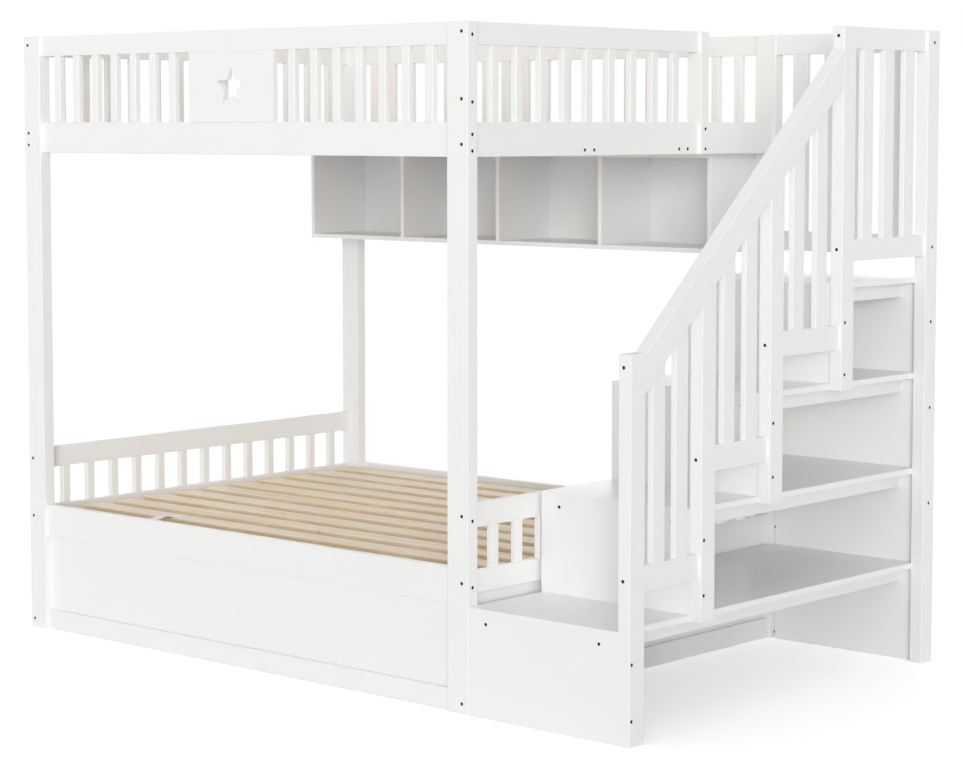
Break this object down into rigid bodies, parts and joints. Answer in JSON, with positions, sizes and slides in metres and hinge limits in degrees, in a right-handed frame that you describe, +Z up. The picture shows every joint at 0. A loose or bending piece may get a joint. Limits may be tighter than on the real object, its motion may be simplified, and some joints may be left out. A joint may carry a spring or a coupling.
{
  "type": "bunk bed with storage stairs",
  "caption": "Two-level bunk bed with guard rails, a recessed panel base, a hanging shelf and an open storage staircase with a sloping handrail.",
  "frame": {"origin": "bottom centre of the whole object's box, on the floor", "axes": "+X along the front from the left end to the stairs, +Y to the back, +Z up"},
  "size_m": [2.578, 1.54, 1.983],
  "materials": {
    "painted_wood": "satin white paint",
    "painted_board": "satin white paint on board",
    "natural_slats": "planed, bare",
    "webbing": "woven tape",
    "dark_steel": "dark zinc plated"
  },
  "bodies": {
    "root": {"barrel_nuts": "dark_steel", "base_panels_ends": "painted_board", "base_panels_sides": "painted_board", "bolts": "dark_steel", "bottom_rails_ends": "painted_wood", "bottom_rails_sides": "painted_wood", "centre_legs": "painted_wood", "cross_bearers": "painted_wood", "entrance_stile": "painted_wood", "guard_balusters_back": "painted_wood", "guard_balusters_ends": "painted_wood", "guard_balusters_front": "painted_wood", "guard_top_rail_back": "painted_wood", "guard_top_rail_front": "painted_wood", "guard_top_rails_ends": "painted_wood", "landing_balusters": "painted_wood", "landing_post": "painted_wood", "landing_rails": "painted_wood", "lower_guard_balusters": "painted_wood", "lower_guard_rails": "painted_wood", "lower_ledgers": "painted_wood", "lower_rail_back": "painted_wood", "lower_rail_front": "painted_wood", "lower_rail_left": "painted_wood", "lower_rail_right": "painted_wood", "lower_slats": "natural_slats", "newel_post": "painted_wood", "post_back_left": "painted_wood", "post_back_right": "painted_wood", "post_front_left": "painted_wood", "post_front_right": "painted_wood", "shelf_back": "painted_board", "shelf_bottom": "painted_board", "shelf_top": "painted_board", "shelf_uprights": "painted_board", "stair_back_panel": "painted_board", "stair_frame_balusters": "painted_wood", "stair_frame_rails": "painted_wood", "stair_handrail": "painted_wood", "stair_middle_posts": "painted_wood", "stair_rear_post": "painted_wood", "stair_riser_1": "painted_board", "stair_riser_2": "painted_board", "stair_riser_3": "painted_board", "stair_riser_4": "painted_board", "stair_tread_1": "painted_board", "stair_tread_2": "painted_board", "stair_tread_3": "painted_board", "stair_tread_4": "painted_board", "star_panel": "painted_board", "tread_bearers": "painted_wood", "upper_beams": "painted_wood", "upper_ledgers": "painted_wood", "upper_rail_back": "painted_wood", "upper_rail_front": "painted_wood", "upper_rail_left": "painted_wood", "upper_rail_right": "painted_wood", "upper_slats": "natural_slats", "webbing_tapes": "webbing"}
  },
  "joints": []
}
